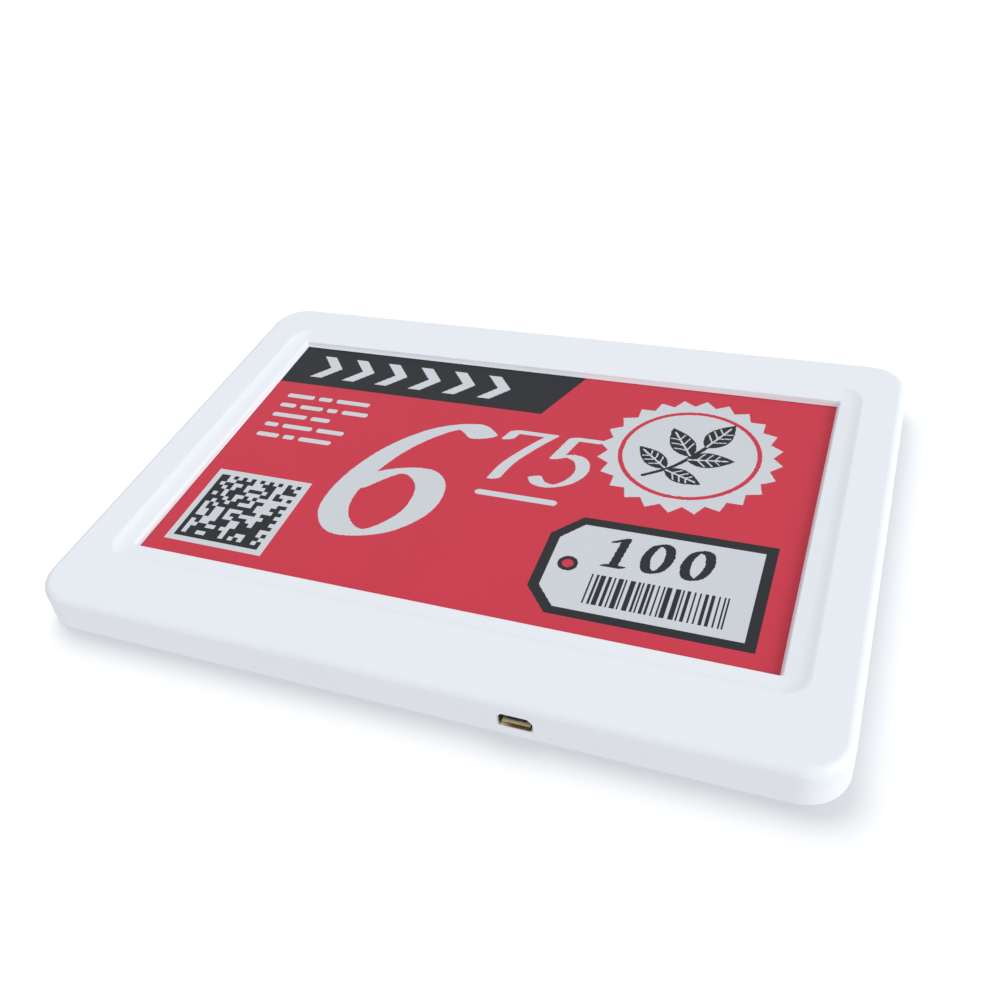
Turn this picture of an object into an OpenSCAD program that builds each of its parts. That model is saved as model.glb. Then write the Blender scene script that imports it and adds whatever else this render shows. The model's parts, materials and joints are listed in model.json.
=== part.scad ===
// Shelf label with a 7.5 inch paper-like display, lying on its back.
// All sizes in millimetres. Origin: centre of the resting back face.
// +X runs along the long side, +Y towards the top of the display,
// +Z out of the display.

/* [Case] */
// Width of the case along X
case_w = 197.5; // [196:0.5:204]
// Height of the case along Y
case_h = 141.2; // [140:0.2:148]
// Thickness of the case along Z
case_t = 10.6; // [10.6:0.1:11.4]
// Radius of the upright corners of the case
corner_r = 10; // [8:0.5:12]
// Radius of the round edge of the front face
edge_r = 2.2; // [1.6:0.1:2.6]
// Radius of the round edge of the back face
back_edge_r = 0.5; // [0.3:0.1:0.8]
// Wall thickness of both covers
wall = 2.2; // [2.2:0.1:2.6]
// Height of the parting line above the back face
seam_z = 4.2; // [4:0.1:4.4]
// How far the front cover sits in from the rim of the rear cover
seam_step = 0.06; // [0.05:0.01:0.2]
// Floor thickness of the rear cover
floor_t = 1.8; // [1.4:0.1:2]

/* [Window] */
// Width of the window, measured at the display
win_w = 163.5; // [163.4:0.1:165]
// Height of the window, measured at the display
win_h = 98.2; // [98:0.1:99.6]
// Sideways offset of the window centre from the case centre
win_x = 0.15; // [0:0.05:0.8]
// Upward offset of the window centre from the case centre
win_y = 2.8; // [2:0.05:3]
// Width of the dished border around the window
dish_w = 6.7; // [6:0.1:7]
// Steepest slope of the dished border, as rise over run
dish_steep = 0.31; // [0.2:0.01:0.32]
// Radius of the rounded edge of the window
lip_r = 0.5; // [0.3:0.05:0.6]
// How far the wall of the window leans out between the display and its rounded edge
lean = 1; // [0.8:0.05:1.2]

/* [Display] */
// Width of the display glass
glass_w = 170.2; // [170:0.1:170.6]
// Height of the display glass
glass_h = 111.2; // [111:0.1:111.4]
// Thickness of the display glass
glass_t = 0.83; // [0.7:0.01:0.85]
// Depth of the display below the front face
view_d = 2.65; // [2.5:0.05:2.7]
// Thickness of the foam gasket in front of the display
gasket_t = 0.1; // [0.1:0.01:0.2]
// Width of the flat ribbon of the display
flex_w = 13; // [12:0.5:14]

/* [Charging port] */
// Sideways place of the charging port
port_x = 31.3; // [30:0.1:34]
// Width of the port opening in the case
port_w = 7.9; // [7.8:0.1:8.6]
// Height of the port opening in the case
port_h = 3.6; // [3.4:0.1:3.7]
// Height of the port centre above the back face
port_z = 4.86; // [4.84:0.01:4.92]

/* [Rear face] */
// Spacing of the two keyhole slots
hang_pitch = 120; // [100:5:130]
// Place of the round entry of the keyhole slots along Y
hang_y = 50; // [48:0.5:51]
// Radius of the round entry of the keyhole slots
hang_entry_r = 4.25; // [4:0.05:4.5]
// Radius of the narrow end of the keyhole slots
hang_slot_r = 2.1; // [2.1:0.05:2.3]
// Length of travel from the entry to the narrow end
hang_run = 8; // [7:0.5:9]
// Radius of the press button
button_r = 3; // [2.5:0.1:3.2]
// Sideways place of the press button
button_x = 44; // [43:0.5:45]
// Place of the press button along Y
button_y = -61; // [-62:0.5:-60]

/* [Fixings] */
// Sideways distance of the case screws from the centre
screw_x = 91; // [90.5:0.1:91.5]
// Distance of the corner screws from the centre along Y
screw_y = 61; // [60:0.5:62]
// Radius of the screw shanks
shank_r = 1; // [0.9:0.05:1.1]
// Radius of the pilot holes in the bosses
pilot_r = 0.85; // [0.8:0.01:0.88]

/* [Battery] */
// Width of the battery
cell_w = 60; // [56:1:60]
// Length of the battery
cell_l = 90; // [80:1:90]
// Thickness of the battery
cell_t = 3; // [2.6:0.1:3]

/* [Hidden] */
$fn = 64;
e = 0.01;

// heights, from the front face down
ceil_z = case_t - 2;                 // inner face of the front cover
view_z = case_t - view_d;            // front face of the display
seat_z = view_z + gasket_t;          // frame round the window that holds the gasket
film_z = view_z - 0.15;              // paper-like film under the cover film
glass_z1 = film_z - 0.2;             // front face of the glass
glass_z0 = glass_z1 - glass_t;       // back face of the glass
ret_t = 1;
ret_z0 = glass_z0 - ret_t;           // rear face of the retainer plate
sheet_t = 0.1;
pcb_z1 = glass_z0 - sheet_t;         // front face of the board
pcb_t = 0.8;
pcb_z0 = pcb_z1 - pcb_t;             // rear face of the board, with the parts

// display outline, the glass reaches further down than the window
glass_cx = win_x;
glass_cy = win_y + 49.35 - 0.4 + 3.5 - glass_h / 2;
glass_y0 = glass_cy - glass_h / 2;
glass_y1 = glass_cy + glass_h / 2;
ledge_y = glass_y0 + 6.2;            // lower edge of the films

// board outline
bx0 = -14; bx1 = 60; by0 = -68; by1 = -12; bnx = 14; bny = -54.5;
usb_z0 = pcb_z0 - 2.45;
usb_front = -case_h / 2 + 0.75;
rim_cut = 0.14;                      // small bevel on the rim of the rear cover
pcb_screw_pos = [[19, -63.5], [55.5, -63.5]];
ret_screw_pos = [[-screw_x, 31], [-screw_x, -31], [screw_x, 31], [screw_x, -31],
                 [-45, 62.3], [45, 62.3], [-50, -62.3], [76, -62.3]];
cover_screw_pos = [for (x = [-1, 1], y = [-1, 0, 1]) [x * screw_x, y * screw_y]];

// battery place
cell_x = -21 - cell_w / 2;
cell_y = 42 - cell_l / 2;
cell_z1 = ret_z0 - 0.15;

// ---------- shared shapes ----------

// rounded rectangle with true arcs
module rrect(w, h, r) {
  square([w - 2 * r, h], center = true);
  square([w, h - 2 * r], center = true);
  for (x = [-1, 1], y = [-1, 1])
    translate([x * (w / 2 - r), y * (h / 2 - r)]) circle(r = r);
}

// box between two corners
module bx(a, b) { translate(a) cube([b[0] - a[0], b[1] - a[1], b[2] - a[2]]); }

// sweeps a wall section round a rectangle with round corners; the section's
// x is the distance out from the corner axis, its y is the height
module round_sweep(w, h, r) {
  for (i = [0 : 3]) {
    sx = (i == 0 || i == 3) ? 1 : -1;
    sy = (i < 2) ? 1 : -1;
    translate([sx * (w / 2 - r), sy * (h / 2 - r), 0]) rotate([0, 0, 90 * i])
      rotate_extrude(angle = 90, $fn = 96) children();
  }
  for (s = [0, 180]) rotate([0, 0, s]) translate([w / 2 - r, 0, 0])
    rotate([90, 0, 0]) linear_extrude(height = h - 2 * r, center = true) children();
  for (s = [90, 270]) rotate([0, 0, s]) translate([h / 2 - r, 0, 0])
    rotate([90, 0, 0]) linear_extrude(height = w - 2 * r, center = true) children();
}

// quarter disc that fills the corner at [x, y]; sx, sy point to the outside
module quarter(x, y, r, sx, sy) {
  intersection() {
    translate([x, y]) circle(r = r, $fn = 96);
    translate([sx > 0 ? x : x - r, sy > 0 ? y : y - r]) square([r, r]);
  }
}

// plate with round corners and a round top and bottom edge
module soft_plate(w, h, r, z0, z1, f) {
  translate([0, 0, (z0 + z1) / 2]) cube([w - 2 * r, h - 2 * r, z1 - z0], center = true);
  round_sweep(w, h, r) {
    translate([0, z0]) square([r - f, z1 - z0]);
    translate([r - f, z0 + f]) square([f, z1 - z0 - 2 * f]);
    quarter(r - f, z0 + f, f, 1, -1);
    quarter(r - f, z1 - f, f, 1, 1);
  }
}

// pan head screw pointing up, seat of the head at z = 0
module pan_screw(len, head_r, head_h) {
  difference() {
    union() {
      cylinder(r = shank_r, h = len - 0.5, $fn = 32);
      translate([0, 0, len - 0.5 - e]) cylinder(r1 = shank_r, r2 = 0.45, h = 0.5 + e, $fn = 32);
      translate([0, 0, -head_h]) rotate_extrude($fn = 48) {
        translate([0, 0.35]) square([head_r, head_h - 0.35]);
        square([head_r - 0.35, 0.35]);
        quarter(head_r - 0.35, 0.35, 0.35, 1, -1);
      }
    }
    for (a = [45, 135]) translate([0, 0, -head_h]) rotate([0, 0, a])
      cube([1.9, 0.42, 1.2], center = true);
  }
}

// opening of the charging port, corners cut off at the side of the board
module port_shape(g) {
  w = port_w / 2 + g; z0 = port_z - port_h / 2 - g; z1 = port_z + port_h / 2 + g;
  polygon([[-w, z0], [w, z0], [w, z1 - 1.25], [w - 1.15, z1], [-w + 1.15, z1], [-w, z1 - 1.25]]);
}
module port_cut() {
  y0 = -case_h / 2; y1 = y0 + wall + 0.2;
  translate([port_x, y1, 0]) rotate([90, 0, 0]) linear_extrude(height = wall + 1.2) port_shape(0);
  // flared mouth
  translate([port_x, 0, 0]) hull() {
    translate([0, y0 + 0.45, 0]) rotate([90, 0, 0]) linear_extrude(height = 0.01) port_shape(0);
    translate([0, y0, 0]) rotate([90, 0, 0]) linear_extrude(height = 0.2) port_shape(0.16);
  }
}

// ---------- covers ----------

module front_section() {
  r = corner_r - seam_step;
  difference() {
    union() {
      translate([0, seam_z]) square([r, case_t - edge_r - seam_z]);
      translate([0, case_t - edge_r]) square([r - edge_r, edge_r]);
      quarter(r - edge_r, case_t - edge_r, edge_r, 1, 1);
    }
    translate([-1, seam_z - 1]) square([1 + r - wall + seam_step, ceil_z - seam_z + 1]);
    translate([-1, seam_z - 1]) square([1 + r - 0.95, 1 + 1.15]);
  }
}

// Depth of the dished border at a distance u inside its outer edge: a soft
// outer edge, a short steep stretch, then a shallow floor down to the window.
// The slope changes in straight steps, so each stretch is part of a parabola.
dish_u = [0, 0.7, 1.4, 3.3, dish_w];
dish_s = [0, dish_steep, dish_steep, 0.1, 0.082];
function dish_area(u, i) =
  u <= dish_u[i] ? 0 :
  let (b = min(u, dish_u[i + 1]) - dish_u[i],
       k = (dish_s[i + 1] - dish_s[i]) / (dish_u[i + 1] - dish_u[i]))
  dish_s[i] * b + k * b * b / 2;
function dish_depth(u) = dish_area(u, 0) + dish_area(u, 1) + dish_area(u, 2) + dish_area(u, 3);
dish_steps = [0, 0.18, 0.35, 0.52, 0.7, 1.4, 1.8, 2.2, 2.6, 2.95, 3.3, 4.8];
lip_end = dish_depth(dish_w - lean);
dish_points = concat(
  [for (u = dish_steps) [dish_w - u, case_t - dish_depth(u)]],
  [for (a = [0 : 13.5 : 67.5]) [lean - lip_r * sin(a), case_t - lip_end - lip_r * (1 - cos(a))]],
  [[0, seat_z], [0, case_t + 2], [dish_w, case_t + 2]]);

// the dished border, with everything in front of it and the window itself
module dish_cut() {
  translate([win_x, win_y, 0]) {
    translate([0, 0, case_t - 1]) cube([win_w, win_h, 6], center = true);
    round_sweep(win_w + 2 * dish_w, win_h + 2 * dish_w, dish_w) polygon(dish_points);
  }
}

// thicker frame round the window, and short ribs that locate the display glass
module locating_ribs() {
  gx = glass_w / 2 + 0.3;
  translate([glass_cx, glass_cy, seat_z]) linear_extrude(height = ceil_z - seat_z + e) rrect(glass_w + 2.6, glass_h + 2.6, 2);
  translate([glass_cx, glass_cy, 0]) {
    for (s = [-1, 1], y = [-36, 0, 36])
      translate([s * (gx + 0.5), y, glass_z0 + 0.1]) translate([-0.5, -9, 0])
        cube([1, 18, ceil_z - glass_z0 - 0.1 + e]);
    for (x = [-58, 0, 58])
      translate([x - 12, glass_h / 2 + 0.3, glass_z0 + 0.1]) cube([24, 1, ceil_z - glass_z0 - 0.1 + e]);
    for (x = [-58, 62])
      translate([x - 9, -glass_h / 2 - 1.3, glass_z0 + 0.1]) cube([18, 1, ceil_z - glass_z0 - 0.1 + e]);
  }
}

module front_cover() color("whitesmoke") {
  r = corner_r - seam_step;
  difference() {
    union() {
      round_sweep(case_w - 2 * seam_step, case_h - 2 * seam_step, r) front_section();
      bx([-case_w / 2 + corner_r, -case_h / 2 + corner_r, ceil_z], [case_w / 2 - corner_r, case_h / 2 - corner_r, case_t]);
      locating_ribs();
      for (p = cover_screw_pos) translate([p[0], p[1], seam_z + 0.1]) cylinder(r = 3, h = ceil_z - seam_z - 0.1 + e);
      for (p = ret_screw_pos) translate([p[0], p[1], glass_z0]) cylinder(r = 2.4, h = ceil_z - glass_z0 + e);
      for (p = pcb_screw_pos) translate([p[0], p[1], pcb_z1]) cylinder(r = 2.4, h = ceil_z - pcb_z1 + e);
    }
    dish_cut();
    for (p = cover_screw_pos) translate([p[0], p[1], seam_z]) cylinder(r = pilot_r, h = case_t - 1.1 - seam_z, $fn = 32);
    for (p = ret_screw_pos) translate([p[0], p[1], glass_z0 - 1]) cylinder(r = pilot_r, h = case_t - 1 - glass_z0 + 1, $fn = 32);
    for (p = pcb_screw_pos) translate([p[0], p[1], pcb_z1 - 1]) cylinder(r = pilot_r, h = case_t - 1 - pcb_z1 + 1, $fn = 32);
    port_cut();
  }
}

module rear_section() {
  r = corner_r;
  difference() {
    union() {
      translate([0, 0]) square([r - back_edge_r, seam_z]);
      translate([r - back_edge_r, back_edge_r]) square([back_edge_r, seam_z - rim_cut - back_edge_r]);
      translate([r - back_edge_r, seam_z - rim_cut]) polygon([[0, 0], [back_edge_r, 0], [back_edge_r - rim_cut, rim_cut], [0, rim_cut]]);
      quarter(r - back_edge_r, back_edge_r, back_edge_r, 1, -1);
      translate([r - 2, seam_z]) square([0.85, 1]);
    }
    translate([-1, floor_t]) square([1 + r - wall, seam_z]);
  }
}

// keyhole slot: round entry below, narrow end above
module keyhole(z0, z1) {
  translate([0, 0, z0]) {
    cylinder(r = hang_entry_r, h = z1 - z0);
    translate([-hang_slot_r, 0, 0]) cube([2 * hang_slot_r, hang_run, z1 - z0]);
    translate([0, hang_run, 0]) cylinder(r = hang_slot_r, h = z1 - z0);
  }
}

module rear_cover() color("whitesmoke") {
  pk_y0 = -5.4; pk_y1 = hang_run + 4.4; pk_x = 5.4; pk_z = 4.6;
  difference() {
    union() {
      round_sweep(case_w, case_h, corner_r) rear_section();
      bx([-case_w / 2 + corner_r, -case_h / 2 + corner_r, 0], [case_w / 2 - corner_r, case_h / 2 - corner_r, floor_t]);
      // screw pillars
      for (p = cover_screw_pos) translate([p[0], p[1], floor_t - e]) cylinder(r = 3.75, h = seam_z - floor_t + e);
      // dust boxes behind the keyholes
      for (s = [-1, 1]) translate([s * hang_pitch / 2, hang_y, 0])
        bx([-pk_x - 1, pk_y0 - 1, floor_t - e], [pk_x + 1, pk_y1 + 1, pk_z + 0.8]);
      // stiffening ribs
      for (x = [4, 30, 56, 82]) bx([x - 0.5, -4, floor_t - e], [x + 0.5, 40, floor_t + 1.4]);
      for (y = [-4, 18, 40]) bx([4, y - 0.5, floor_t - e], [82, y + 0.5, floor_t + 1.4]);
      for (x = [-30, 0, 30]) bx([x - 0.5, 48, floor_t - e], [x + 0.5, case_h / 2 - wall, floor_t + 1.4]);
      // fence round the battery
      for (s = [-1, 1]) bx([cell_x + s * (cell_w / 2 + 1) - 0.5, cell_y - 20, floor_t - e],
                           [cell_x + s * (cell_w / 2 + 1) + 0.5, cell_y + 20, floor_t + 1.3]);
      bx([cell_x - 20, cell_y + cell_l / 2 + 0.5, floor_t - e], [cell_x + 20, cell_y + cell_l / 2 + 1.5, floor_t + 1.3]);
      // posts that hold the board down
      for (p = [[8, -27], [30, -16]]) translate([p[0], p[1], floor_t - e]) cylinder(r = 1.6, h = pcb_z0 - 0.1 - floor_t + e, $fn = 32);
      // collar round the press button
      translate([button_x, button_y, floor_t - e]) cylinder(r = button_r + 2.3, h = 0.9);
    }
    for (p = cover_screw_pos) translate([p[0], p[1], -1]) {
      cylinder(r = 2.3, h = 3);
      cylinder(r = 1.15, h = 7, $fn = 32);
    }
    for (s = [-1, 1]) translate([s * hang_pitch / 2, hang_y, 0]) {
      keyhole(-1, floor_t + 1);
      bx([-pk_x, pk_y0, floor_t], [pk_x, pk_y1, pk_z]);
    }
    port_cut();
    translate([button_x, button_y, -1]) cylinder(r = button_r + 0.1, h = 4);
    translate([button_x, button_y, floor_t]) cylinder(r = button_r + 1.3, h = 4);
    // shallow flat left bare for a rating label
    translate([0, -30, -1]) linear_extrude(height = 1.15) rrect(60, 24, 2);
  }
}

module cover_screws() color("silver")
  for (p = cover_screw_pos) translate([p[0], p[1], 2]) pan_screw(6.8, 1.9, 1.45);

// ---------- display ----------

module display_gasket() color("dimgray")
  translate([0, 0, view_z]) linear_extrude(height = gasket_t) difference() {
    translate([glass_cx - glass_w / 2 + 0.3, ledge_y + 0.3]) square([glass_w - 0.6, glass_y1 - ledge_y - 0.6]);
    translate([win_x, win_y]) square([win_w + 0.6, win_h + 0.6], center = true);
  }

module display_cover_film() color([0.86, 0.27, 0.33])
  bx([glass_cx - glass_w / 2 + 0.5, ledge_y, film_z], [glass_cx + glass_w / 2 - 0.5, glass_y1 - 0.5, view_z]);

module epaper_film() color([0.8, 0.81, 0.8])
  bx([glass_cx - glass_w / 2 + 0.9, ledge_y + 0.4, glass_z1], [glass_cx + glass_w / 2 - 0.9, glass_y1 - 0.9, film_z]);

module display_glass() color([0.55, 0.66, 0.66])
  bx([glass_cx - glass_w / 2, glass_y0, glass_z0], [glass_cx + glass_w / 2, glass_y1, glass_z1]);

module display_driver_ic() color([0.16, 0.16, 0.18])
  bx([glass_cx - 11, ledge_y - 2.4, glass_z1], [glass_cx + 11, ledge_y - 1.1, glass_z1 + 0.28]);

flex_t = 0.12; flex_z = glass_z1; flex_lo = pcb_z0 - 0.62; flex_r = (flex_z + flex_t - flex_lo) / 2;
module display_flex() color([0.75, 0.45, 0.1]) {
  yb = glass_y0 - 1.2;
  bx([-flex_w / 2, yb, flex_z], [flex_w / 2, glass_y0 + 1.9, flex_z + flex_t]);
  bx([-flex_w / 2, yb, flex_lo], [flex_w / 2, -47, flex_lo + flex_t]);
  translate([0, yb, flex_lo + flex_r]) rotate([0, 90, 0])
    linear_extrude(height = flex_w, center = true) difference() {
      circle(r = flex_r, $fn = 64);
      circle(r = flex_r - flex_t, $fn = 64);
      translate([-5, 0]) square([10, 10]);
    }
  // stiffener at the socket end
  bx([-flex_w / 2, -53.5, flex_lo - 0.18], [flex_w / 2, -47, flex_lo]);
}

module display_retainer() color([0.22, 0.23, 0.25])
  difference() {
    union() {
      translate([0, 0, ret_z0]) linear_extrude(height = ret_t) difference() {
        union() {
          translate([0, 0.2]) rrect(174, 115, 3);
          for (p = ret_screw_pos) translate(p) circle(r = 3.5);
          for (p = ret_screw_pos) if (abs(p[0]) > 90) translate([p[0] / abs(p[0]) * 88.5, p[1]]) square([5, 7], center = true);
          for (p = ret_screw_pos) if (abs(p[0]) < 90) translate([p[0], p[1] / abs(p[1]) * 59.5]) square([7, 5.6], center = true);
        }
        // room for the board and the flat ribbon
        translate([bx0 - 0.5, -60]) square([bx1 - bx0 + 1, 48.5]);
        // lightening windows
        for (x = [12, 36, 60]) translate([x - 10, 4]) square([20, 44]);
        for (x = [66.5]) translate([x, -50]) square([14, 40]);
        for (p = ret_screw_pos) translate(p) circle(r = 1.15, $fn = 32);
      }
      // hooks over the top edge of the board
      for (x = [-4, 48]) {
        bx([x - 3, -11.5, pcb_z0 - 0.8], [x + 3, -9.6, ret_z0 + e]);
        bx([x - 3, -13.2, pcb_z0 - 0.8], [x + 3, -11.5 + e, pcb_z0]);
      }
    }
  }

module retainer_screws() color("silver")
  for (p = ret_screw_pos) translate([p[0], p[1], ret_z0]) pan_screw(3.2, 1.8, 1.2);

module insulation_sheet() color([0.1, 0.1, 0.1])
  translate([0, 0, pcb_z1]) linear_extrude(height = sheet_t)
    translate([bx0 + 1, bny + 0.5]) square([bx1 - bx0 - 2, by1 - bny - 1.5]);

// ---------- main board ----------

module main_pcb() color([0.05, 0.3, 0.16])
  translate([0, 0, pcb_z0]) linear_extrude(height = pcb_t) difference() {
    polygon([[bx0, bny], [bnx, bny], [bnx, by0], [bx1, by0], [bx1, by1], [bx0, by1]]);
    for (p = pcb_screw_pos) translate(p) circle(r = 1.15, $fn = 32);
  }

module pcb_screws() color("silver")
  for (p = pcb_screw_pos) translate([p[0], p[1], pcb_z0]) pan_screw(3.2, 1.8, 1.2);

sock_y = -50.6; latch_y = -45.6; latch_z = pcb_z0 - 0.94;
module flex_socket_body() color([0.9, 0.88, 0.8])
  difference() {
    bx([-9.2, sock_y, pcb_z0 - 1.2], [9.2, -45.1, pcb_z0]);
    // slot that takes the flat ribbon
    bx([-flex_w / 2 - 0.15, sock_y - 1, flex_lo - 0.24], [flex_w / 2 + 0.15, -46.8, flex_lo + flex_t + 0.06]);
    // seat of the flip latch
    bx([-8.5, -47.2, pcb_z0 - 3], [8.5, -44, pcb_z0 - 0.68]);
    for (s = [-1, 1]) translate([s * 8.4, latch_y, latch_z]) rotate([0, 90, 0])
      cylinder(r = 0.19, h = 1.2, center = true, $fn = 24);
  }

module flex_socket_latch() color([0.12, 0.12, 0.13]) {
  bx([-8.4, -47, latch_z - 0.22], [8.4, latch_y, latch_z + 0.22]);
  translate([0, latch_y, latch_z]) rotate([0, 90, 0]) cylinder(r = 0.22, h = 16.8, center = true, $fn = 32);
  translate([0, latch_y, latch_z]) rotate([0, 90, 0]) cylinder(r = 0.15, h = 17.6, center = true, $fn = 24);
}

module flex_socket_contacts() color("gold")
  for (i = [-11.5 : 1 : 11.5]) bx([i * 0.5 - 0.09, sock_y - 0.7, pcb_z0 - 0.14], [i * 0.5 + 0.09, sock_y, pcb_z0]);

module usb_trapezoid(g) {
  w = 3.75 - g; z0 = g; z1 = 2.45 - g;
  polygon([[-w, z0], [w, z0], [w, z1 - 1.1 + g * 0.4], [w - 0.95 + g * 0.4, z1], [-w + 0.95 - g * 0.4, z1], [-w, z1 - 1.1 + g * 0.4]]);
}
// strip of sheet metal across the socket; p is its section, y inwards and z up
module usb_lip(w, p)
  translate([-w / 2, usb_front, 0]) rotate([90, 0, 90]) linear_extrude(height = w) polygon(p);
module usb_shell() color([0.78, 0.66, 0.42])
  translate([port_x, 0, usb_z0]) difference() {
    union() {
      translate([0, usb_front + 5.2, 0]) rotate([90, 0, 0]) linear_extrude(height = 5.2) usb_trapezoid(0);
      // solder feet on the board
      for (s = [-1, 1], y = [2.7, 4.5]) bx([s > 0 ? 2.6 : -4.7, usb_front + y - 0.4, 2.25], [s > 0 ? 4.7 : -2.6, usb_front + y + 0.4, 2.45]);
      // lip on the wide side of the mouth
      usb_lip(7, [[0.1, 0], [-0.7, -0.28], [-0.7, -0.1], [0.1, 0.2]]);
    }
    // mouth that narrows inwards
    hull() {
      translate([0, usb_front, 0]) rotate([90, 0, 0]) linear_extrude(height = 0.8) usb_trapezoid(0.06);
      translate([0, usb_front + 0.7, 0]) rotate([90, 0, 0]) linear_extrude(height = 0.1) usb_trapezoid(0.25);
    }
    translate([0, usb_front + 5.2 + 1, 0]) rotate([90, 0, 0]) linear_extrude(height = 8) usb_trapezoid(0.25);
    // latch windows in the wide side
    for (s = [-1, 1]) bx([s * 1.9 - 0.45, usb_front + 1.3, -1], [s * 1.9 + 0.45, usb_front + 2.9, 0.5]);
  }

module usb_insulator() color([0.08, 0.08, 0.08])
  translate([port_x, 0, usb_z0]) {
    // block that closes the back of the shell
    translate([0, usb_front + 5.2, 0]) rotate([90, 0, 0]) linear_extrude(height = 1.2) usb_trapezoid(0.25);
    bx([-1.85, usb_front + 0.6, 0.62], [1.85, usb_front + 4.1, 1.17]);
  }

module usb_contacts() color("gold")
  translate([port_x, 0, usb_z0]) for (i = [-2 : 2]) {
    bx([i * 0.65 - 0.2, usb_front + 0.8, 1.17], [i * 0.65 + 0.2, usb_front + 4, 1.25]);
    bx([i * 0.65 - 0.1, usb_front + 5.2, 2.25], [i * 0.65 + 0.1, usb_front + 6.1, 2.45]);
  }

rad_x0 = 41; rad_x1 = 59.5; rad_y0 = -42; rad_y1 = -27;
module radio_board() color([0.04, 0.16, 0.1])
  bx([rad_x0, rad_y0, pcb_z0 - 0.8], [rad_x1, rad_y1, pcb_z0]);
module radio_shield() color([0.75, 0.75, 0.74])
  bx([rad_x0 + 0.6, rad_y0 + 0.6, pcb_z0 - 2.6], [rad_x1 - 6, rad_y1 - 0.6, pcb_z0 - 0.8]);
// meander track antenna
module radio_antenna() color([0.8, 0.6, 0.2])
  translate([rad_x1 - 5.2, rad_y0 + 1, pcb_z0 - 0.84]) linear_extrude(height = 0.04) {
    square([0.5, 13]);
    for (i = [0 : 5]) translate([0, i * 2.2]) {
      square([4.2, 0.5]);
      translate([i % 2 == 0 ? 3.7 : 1.2, 0]) square([0.5, 2.2]);
    }
  }

module power_inductor() color([0.2, 0.2, 0.22])
  translate([6, -34, pcb_z0 - 2]) {
    linear_extrude(height = 2) difference() {
      rrect(5, 5, 0.8);
    }
  }

chip_pos = [[16, -24, 4, 5, 1.4, 4], [28, -34, 3, 3, 1, 3], [24, -50, 3, 3, 1, 3], [30, -24, 5, 5.2, 1.6, 4]];
module chip_packages() color([0.1, 0.1, 0.11])
  for (c = chip_pos) bx([c[0] - c[2] / 2, c[1] - c[3] / 2, pcb_z0 - c[4]], [c[0] + c[2] / 2, c[1] + c[3] / 2, pcb_z0 - 0.1]);
module chip_leads() color("silver")
  for (c = chip_pos, s = [-1, 1], i = [0 : c[5] - 1])
    bx([s > 0 ? c[0] + c[2] / 2 : c[0] - c[2] / 2 - 0.8, c[1] + (i - (c[5] - 1) / 2) * 0.95 - 0.2, pcb_z0 - 0.25],
       [s > 0 ? c[0] + c[2] / 2 + 0.8 : c[0] - c[2] / 2, c[1] + (i - (c[5] - 1) / 2) * 0.95 + 0.2, pcb_z0]);

cap_pos = concat([for (i = [0 : 6]) [-9 + i * 3, -40]], [for (i = [0 : 4]) [20 + i * 2.6, -42]], [for (i = [0 : 3]) [38 + i * 3, -50]]);
module chip_capacitors() color([0.62, 0.5, 0.36])
  for (p = cap_pos) bx([p[0] - 0.4, p[1] - 0.8, pcb_z0 - 0.8], [p[0] + 0.4, p[1] + 0.8, pcb_z0]);
res_pos = concat([for (i = [0 : 5]) [20 + i * 2.4, -57.5 + 11.5]], [for (i = [0 : 3]) [38 + i * 3, -46]], [for (i = [0 : 2]) [36.5, -20 - i * 3]]);
module chip_resistors() color([0.12, 0.12, 0.13])
  for (p = res_pos) bx([p[0] - 0.4, p[1] - 0.8, pcb_z0 - 0.45], [p[0] + 0.4, p[1] + 0.8, pcb_z0]);

module power_diodes() color([0.14, 0.14, 0.15])
  for (x = [-8, -3.5, 1]) bx([x - 0.9, -36, pcb_z0 - 1.1], [x + 0.9, -32.6, pcb_z0]);

module clock_crystal() color([0.78, 0.77, 0.72])
  bx([20, -31, pcb_z0 - 0.8], [22.5, -27.8, pcb_z0]);

// press switch on the board: body, steel cover, plunger
sw_t = 1.3; pl_r = 1.3;
module switch_body() color([0.12, 0.12, 0.12])
  translate([button_x, button_y, 0]) difference() {
    bx([-2.6, -2.6, pcb_z0 - sw_t], [2.6, 2.6, pcb_z0]);
    translate([0, 0, pcb_z0 - sw_t - 1]) cylinder(r = 1.9, h = 1 + sw_t - 0.3, $fn = 48);
  }
module switch_cover() color([0.78, 0.78, 0.77])
  translate([button_x, button_y, pcb_z0 - sw_t - 0.2]) difference() {
    bx([-2.6, -2.6, 0], [2.6, 2.6, 0.2]);
    translate([0, 0, -1]) cylinder(r = pl_r + 0.06, h = 3, $fn = 48);
  }
module switch_plunger() color([0.85, 0.3, 0.2])
  translate([button_x, button_y, 0]) {
    translate([0, 0, pcb_z0 - sw_t - 0.6]) cylinder(r = pl_r, h = 0.75, $fn = 48);
    translate([0, 0, pcb_z0 - sw_t + 0.05]) cylinder(r = 1.7, h = 0.35, $fn = 48);
  }

module rear_button() color("gainsboro")
  translate([button_x, button_y, 0]) {
    rotate_extrude($fn = 64) {
      translate([0, 0.3]) square([button_r - 0.3, floor_t - 0.3 + 0.05]);
      translate([button_r - 0.3, 0.6]) square([0.3, floor_t - 0.6 + 0.05]);
      quarter(button_r - 0.3, 0.6, 0.3, 1, -1);
      translate([0, floor_t + 0.05]) square([button_r + 0.9, 0.55]);
      translate([0, floor_t + 0.6]) square([1.2, pcb_z0 - sw_t - 0.6 - 0.05 - floor_t - 0.6]);
    }
  }

// ---------- battery ----------

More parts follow.
